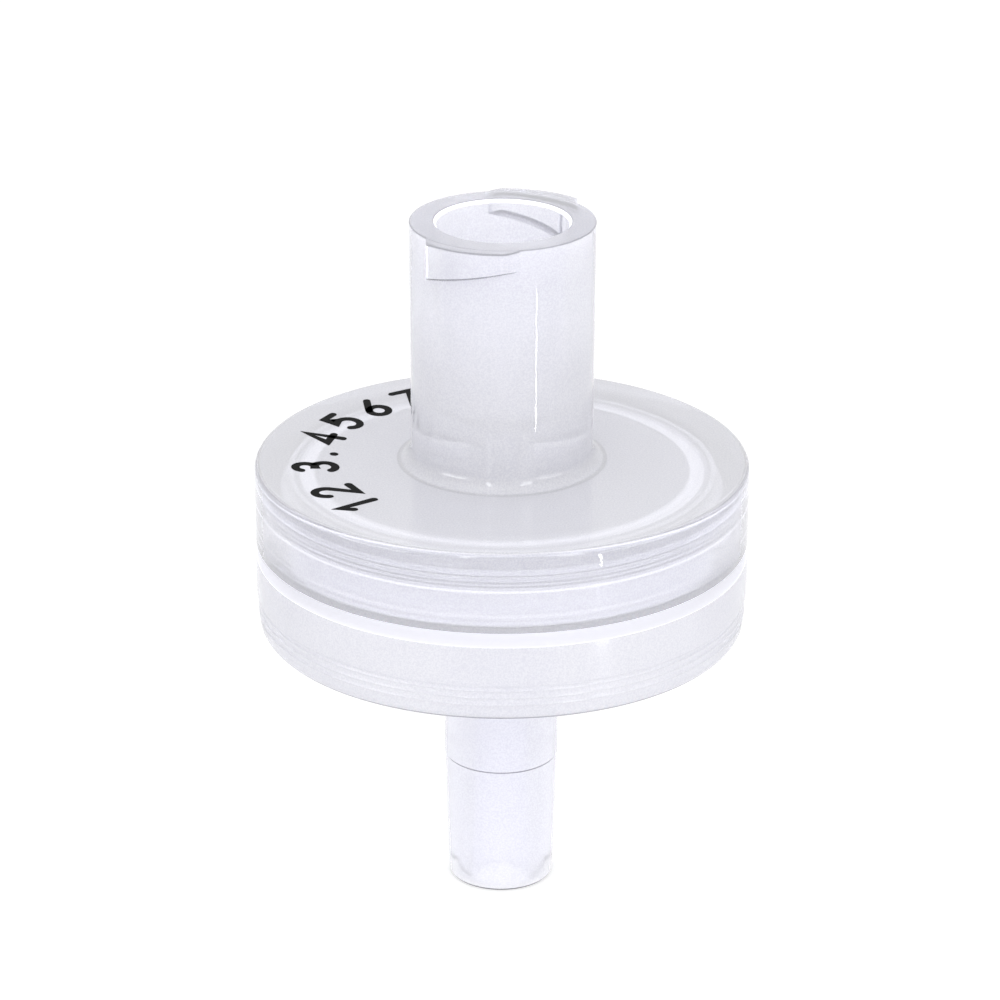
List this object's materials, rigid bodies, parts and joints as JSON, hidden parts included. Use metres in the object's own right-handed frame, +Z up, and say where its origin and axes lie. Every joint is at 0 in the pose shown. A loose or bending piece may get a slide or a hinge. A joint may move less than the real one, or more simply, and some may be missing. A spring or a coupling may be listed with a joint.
{
  "type": "syringe filter",
  "caption": "Disc filter for a syringe: a membrane clamped between two moulded housings, with a lugged female inlet hub above and a slip tip outlet below.",
  "frame": {"origin": "centre of the outlet tip's end face, on which the filter stands", "axes": "+Z up along the flow axis, from the outlet tip to the inlet hub; one lock lug faces -Y"},
  "size_m": [0.0188, 0.0188, 0.027],
  "materials": {
    "inlet_plastic": "translucent moulded plastic, satin",
    "membrane": "matt white microporous film",
    "outlet_plastic": "translucent moulded plastic, satin"
  },
  "bodies": {
    "root": {"inlet_housing": "inlet_plastic", "membrane": "membrane", "outlet_housing": "outlet_plastic"}
  },
  "joints": []
}
